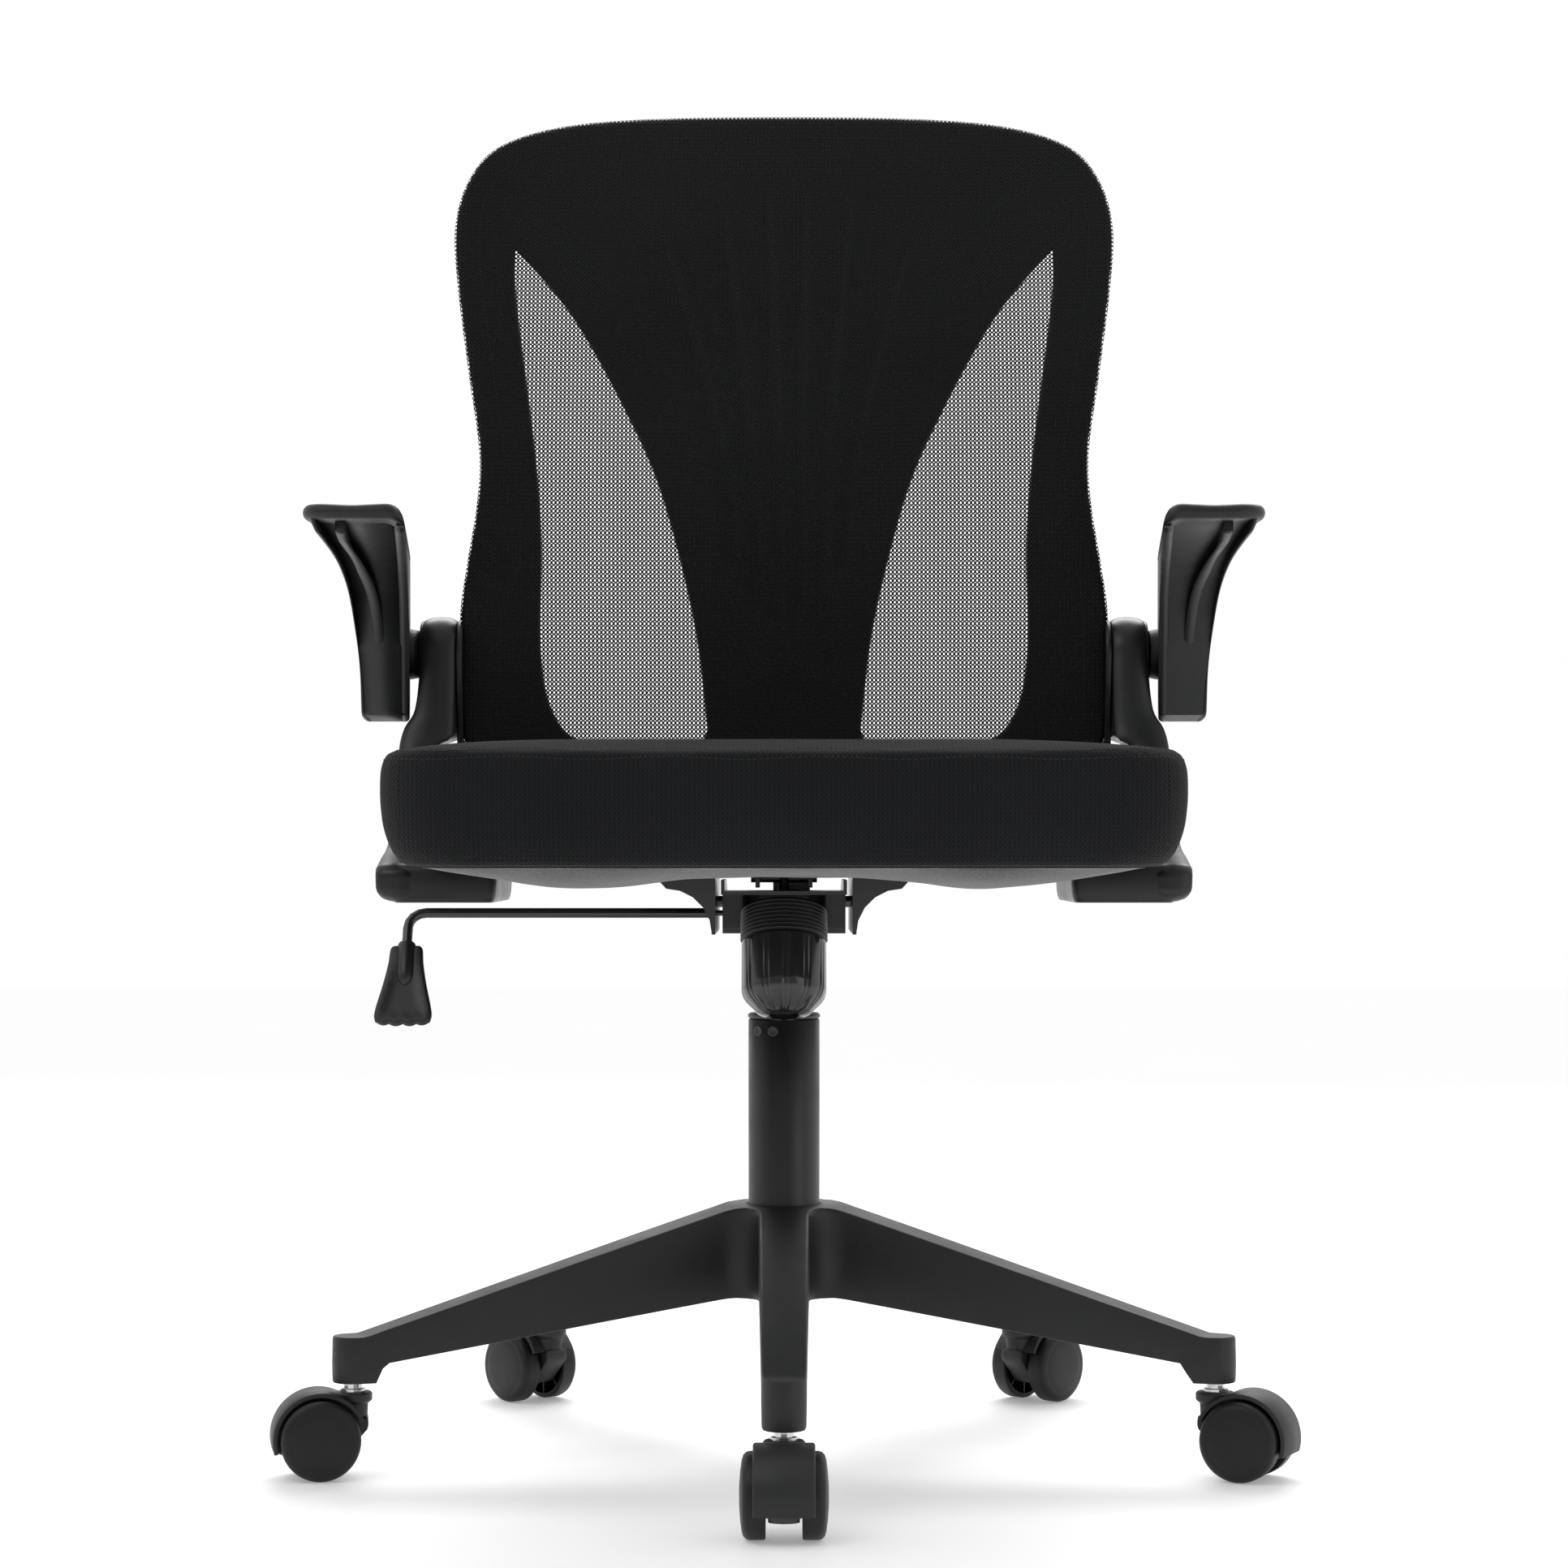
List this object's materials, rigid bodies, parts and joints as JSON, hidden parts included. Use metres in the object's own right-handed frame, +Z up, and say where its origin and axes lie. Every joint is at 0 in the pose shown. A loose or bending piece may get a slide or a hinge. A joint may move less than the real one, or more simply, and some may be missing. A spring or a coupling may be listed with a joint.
{
  "type": "swivel office chair",
  "caption": "Swivel chair with a padded seat, folding mesh backrest, flip-up armrests, gas lift, tilt mechanism and a castered star base.",
  "frame": {"origin": "on the floor under the gas lift's axis", "axes": "+Z up, -Y where the sitter faces, +X to the sitter's left"},
  "size_m": [0.6989, 0.6944, 1.006],
  "materials": {
    "nylon": "fine-grained black nylon",
    "wheel": "black nylon, satin tread",
    "chrome": "polished",
    "column": "satin black powder coat",
    "painted_steel": "gloss black paint on pressed steel",
    "steel": "zinc-plated, darkened",
    "gloss": "gloss black moulding",
    "plastic": "satin black moulding",
    "arm_pad": "soft-touch black polyurethane",
    "boot": "ribbed black rubber",
    "seat_board": "plain plywood",
    "felt": "speckled grey non-woven felt",
    "seat_fabric": "black knitted mesh-look upholstery",
    "mesh": "open black knitted mesh"
  },
  "bodies": {
    "base": {"star_base": "nylon", "column_tube": "column", "column_bush": "plastic", "thrust_bearing": "steel"},
    "piston": {"piston_rod": "steel", "rod_clip": "steel"},
    "chassis": {"gas_cylinder": "column", "mechanism_housing": "painted_steel", "tilt_pivot_pin": "steel", "spring_boot": "boot", "tilt_spring": "steel"},
    "button": {"release_button": "steel"},
    "lock": {"lock_block": "steel"},
    "lever": {"lever_rod": "painted_steel", "lever_paddle": "plastic"},
    "bolt": {"tension_bolt": "steel"},
    "carriage": {"spring_washer": "steel"},
    "knob": {"tension_knob": "gloss"},
    "seat": {"seat_plate": "painted_steel", "seat_pan": "seat_board", "seat_underside_cover": "felt", "seat_cushion": "seat_fabric", "side_bracket_left": "gloss", "side_bracket_right": "gloss", "fold_pin_left": "steel", "fold_pin_right": "steel", "arm_bolt_left": "steel", "arm_bolt_right": "steel", "plate_bolt_front_right": "steel", "plate_bolt_front_left": "steel", "plate_bolt_rear_right": "steel", "plate_bolt_rear_left": "steel"},
    "back": {"back_frame": "nylon", "back_mesh": "mesh"},
    "arm_left": {"armrest_left": "nylon", "arm_pad_left": "arm_pad"},
    "arm_right": {"armrest_right": "nylon", "arm_pad_right": "arm_pad"},
    "caster_front": {"caster_front_housing": "nylon", "caster_front_pin": "chrome"},
    "caster_front_wheel_a": {"caster_front_wheel_a": "wheel"},
    "caster_front_wheel_b": {"caster_front_wheel_b": "wheel"},
    "caster_left": {"caster_left_housing": "nylon", "caster_left_pin": "chrome"},
    "caster_left_wheel_a": {"caster_left_wheel_a": "wheel"},
    "caster_left_wheel_b": {"caster_left_wheel_b": "wheel"},
    "caster_rear_left": {"caster_rear_left_housing": "nylon", "caster_rear_left_pin": "chrome"},
    "caster_rear_left_wheel_a": {"caster_rear_left_wheel_a": "wheel"},
    "caster_rear_left_wheel_b": {"caster_rear_left_wheel_b": "wheel"},
    "caster_rear_right": {"caster_rear_right_housing": "nylon", "caster_rear_right_pin": "chrome"},
    "caster_rear_right_wheel_a": {"caster_rear_right_wheel_a": "wheel"},
    "caster_rear_right_wheel_b": {"caster_rear_right_wheel_b": "wheel"},
    "caster_right": {"caster_right_housing": "nylon", "caster_right_pin": "chrome"},
    "caster_right_wheel_a": {"caster_right_wheel_a": "wheel"},
    "caster_right_wheel_b": {"caster_right_wheel_b": "wheel"}
  },
  "joints": [
    {"name": "swivel", "type": "hinge", "parent": "base", "child": "piston", "pos_m": [0, 0, 0.09], "axis": [0, 0, 1], "continuous": true},
    {"name": "height", "type": "slide", "parent": "piston", "child": "chassis", "axis": [0, 0, 1], "range_m": [-0.045, 0.055]},
    {"name": "tilt", "type": "hinge", "parent": "chassis", "child": "seat", "pos_m": [0, -0.0259, 0.3878], "axis": [-1, 0, 0], "range_deg": [0, 12], "stiffness_Nm_per_rad": 90, "springref_deg": -12.61},
    {"name": "bolt_lift", "type": "slide", "parent": "chassis", "child": "bolt", "axis": [0, 0.3338, 0.9426], "range_m": [0, 0.0108], "deforming": ["spring_boot", "tilt_spring"]},
    {"name": "knob_feed", "type": "slide", "parent": "bolt", "child": "carriage", "axis": [0, 0.3338, 0.9426], "range_m": [-0.0031, 0.0031], "deforming": ["spring_boot", "tilt_spring"]},
    {"name": "knob_turn", "type": "hinge", "parent": "carriage", "child": "knob", "pos_m": [0, -0.08845, 0.36094], "axis": [0, 0.3338, 0.9426], "range_deg": [-720, 720]},
    {"name": "lever_pull", "type": "slide", "parent": "chassis", "child": "lock", "axis": [-1, 0, 0], "range_m": [0, 0.012]},
    {"name": "lever_turn", "type": "hinge", "parent": "lock", "child": "lever", "pos_m": [0, -0.04, 0.38], "axis": [-1, 0, 0], "range_deg": [0, 5.5], "stiffness_Nm_per_rad": 3, "springref_deg": -2.86},
    {"name": "button_press", "type": "slide", "parent": "chassis", "child": "button", "axis": [0, 0, -1], "range_m": [0, 0.0042], "stiffness_N_per_m": 60, "springref_m": -0.0005},
    {"name": "back_fold", "type": "hinge", "parent": "seat", "child": "back", "pos_m": [0, 0.242, 0.574], "axis": [1, 0, 0], "range_deg": [0, 105]},
    {"name": "arm_flip_left", "type": "hinge", "parent": "seat", "child": "arm_left", "pos_m": [0.3, 0.242, 0.574], "axis": [-1, 0, 0], "range_deg": [0, 90]},
    {"name": "arm_flip_right", "type": "hinge", "parent": "seat", "child": "arm_right", "pos_m": [-0.3, 0.242, 0.574], "axis": [-1, 0, 0], "range_deg": [0, 90]},
    {"name": "caster_front_swivel", "type": "hinge", "parent": "base", "child": "caster_front", "pos_m": [0, -0.307, 0.06], "axis": [0, 0, 1], "continuous": true},
    {"name": "caster_front_spin_a", "type": "hinge", "parent": "caster_front", "child": "caster_front_wheel_a", "pos_m": [0, -0.3298, 0.027], "axis": [1, 0, 0], "continuous": true},
    {"name": "caster_front_spin_b", "type": "hinge", "parent": "caster_front", "child": "caster_front_wheel_b", "pos_m": [0, -0.3298, 0.027], "axis": [1, 0, 0], "continuous": true},
    {"name": "caster_left_swivel", "type": "hinge", "parent": "base", "child": "caster_left", "pos_m": [0.29197, -0.09487, 0.06], "axis": [0, 0, 1], "continuous": true},
    {"name": "caster_left_spin_a", "type": "hinge", "parent": "caster_left", "child": "caster_left_wheel_a", "pos_m": [0.31264, -0.1045, 0.027], "axis": [0.4226, 0.9063, 0], "continuous": true},
    {"name": "caster_left_spin_b", "type": "hinge", "parent": "caster_left", "child": "caster_left_wheel_b", "pos_m": [0.31264, -0.1045, 0.027], "axis": [0.4226, 0.9063, 0], "continuous": true},
    {"name": "caster_rear_left_swivel", "type": "hinge", "parent": "base", "child": "caster_rear_left", "pos_m": [0.18045, 0.24837, 0.06], "axis": [0, 0, 1], "continuous": true},
    {"name": "caster_rear_left_spin_a", "type": "hinge", "parent": "caster_rear_left", "child": "caster_rear_left_wheel_a", "pos_m": [0.19579, 0.26523, 0.027], "axis": [-0.7396, 0.673, 0], "continuous": true},
    {"name": "caster_rear_left_spin_b", "type": "hinge", "parent": "caster_rear_left", "child": "caster_rear_left_wheel_b", "pos_m": [0.19579, 0.26523, 0.027], "axis": [-0.7396, 0.673, 0], "continuous": true},
    {"name": "caster_rear_right_swivel", "type": "hinge", "parent": "base", "child": "caster_rear_right", "pos_m": [-0.18045, 0.24837, 0.06], "axis": [0, 0, 1], "continuous": true},
    {"name": "caster_rear_right_spin_a", "type": "hinge", "parent": "caster_rear_right", "child": "caster_rear_right_wheel_a", "pos_m": [-0.19588, 0.26515, 0.027], "axis": [-0.7361, -0.6769, 0], "continuous": true},
    {"name": "caster_rear_right_spin_b", "type": "hinge", "parent": "caster_rear_right", "child": "caster_rear_right_wheel_b", "pos_m": [-0.19588, 0.26515, 0.027], "axis": [-0.7361, -0.6769, 0], "continuous": true},
    {"name": "caster_right_swivel", "type": "hinge", "parent": "base", "child": "caster_right", "pos_m": [-0.29197, -0.09487, 0.06], "axis": [0, 0, 1], "continuous": true},
    {"name": "caster_right_spin_a", "type": "hinge", "parent": "caster_right", "child": "caster_right_wheel_a", "pos_m": [-0.31435, -0.09922, 0.027], "axis": [0.1908, -0.9816, 0], "continuous": true},
    {"name": "caster_right_spin_b", "type": "hinge", "parent": "caster_right", "child": "caster_right_wheel_b", "pos_m": [-0.31435, -0.09922, 0.027], "axis": [0.1908, -0.9816, 0], "continuous": true}
  ],
  "couplings": [
    {"joint": "bolt_lift", "follows": "tilt", "m_per_rad": 0.05},
    {"joint": "knob_feed", "follows": "knob_turn", "m_per_rad": 0.000239},
    {"joint": "button_press", "follows": "lever_turn", "m_per_rad": 0.042}
  ]
}
